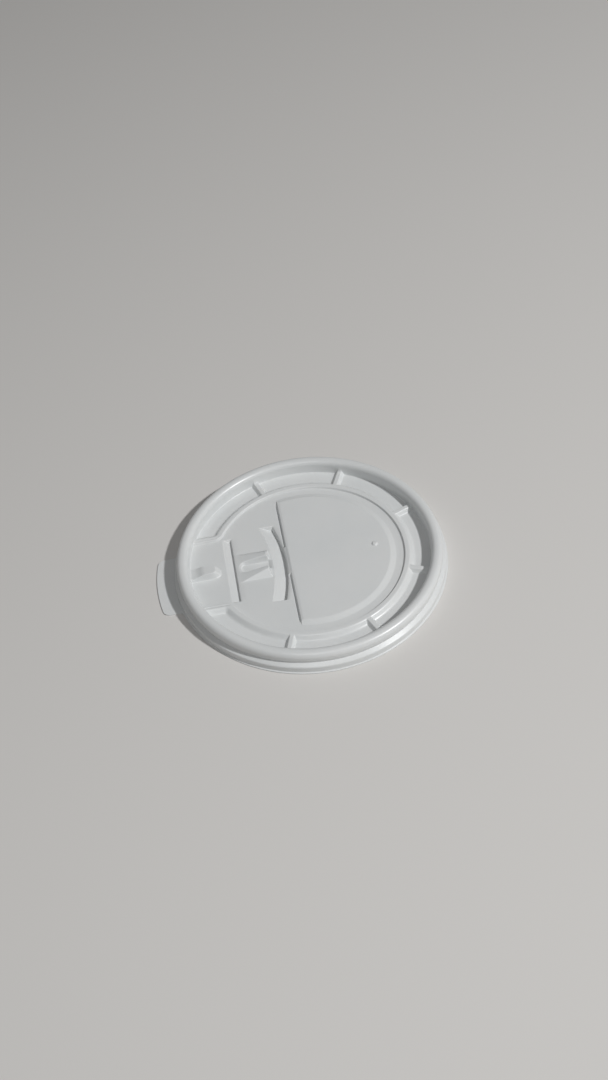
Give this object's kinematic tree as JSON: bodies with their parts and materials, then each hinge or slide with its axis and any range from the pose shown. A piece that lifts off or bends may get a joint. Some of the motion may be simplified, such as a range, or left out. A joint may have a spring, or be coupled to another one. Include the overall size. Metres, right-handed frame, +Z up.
{
  "type": "coffee cup lid",
  "caption": "Flat tear-back lid for a paper hot-drink cup, formed from one thin white sheet, with a drink tab, lock nub and socket, hinge groove, vent pip and pull tab.",
  "frame": {"origin": "on the surface the lid stands on, under the middle of its outline with the pull tab; the round lid's own axis is 2.95 mm along +X from it", "axes": "+Z up, out of the lid's top; -X towards the drink tab and the pull tab; +Y to the left of the tab's direction seen from the tab"},
  "size_m": [0.0998, 0.094, 0.0074],
  "materials": {
    "polystyrene": "smooth satin white, slightly translucent"
  },
  "bodies": {
    "root": {"lid": "polystyrene"}
  },
  "joints": []
}
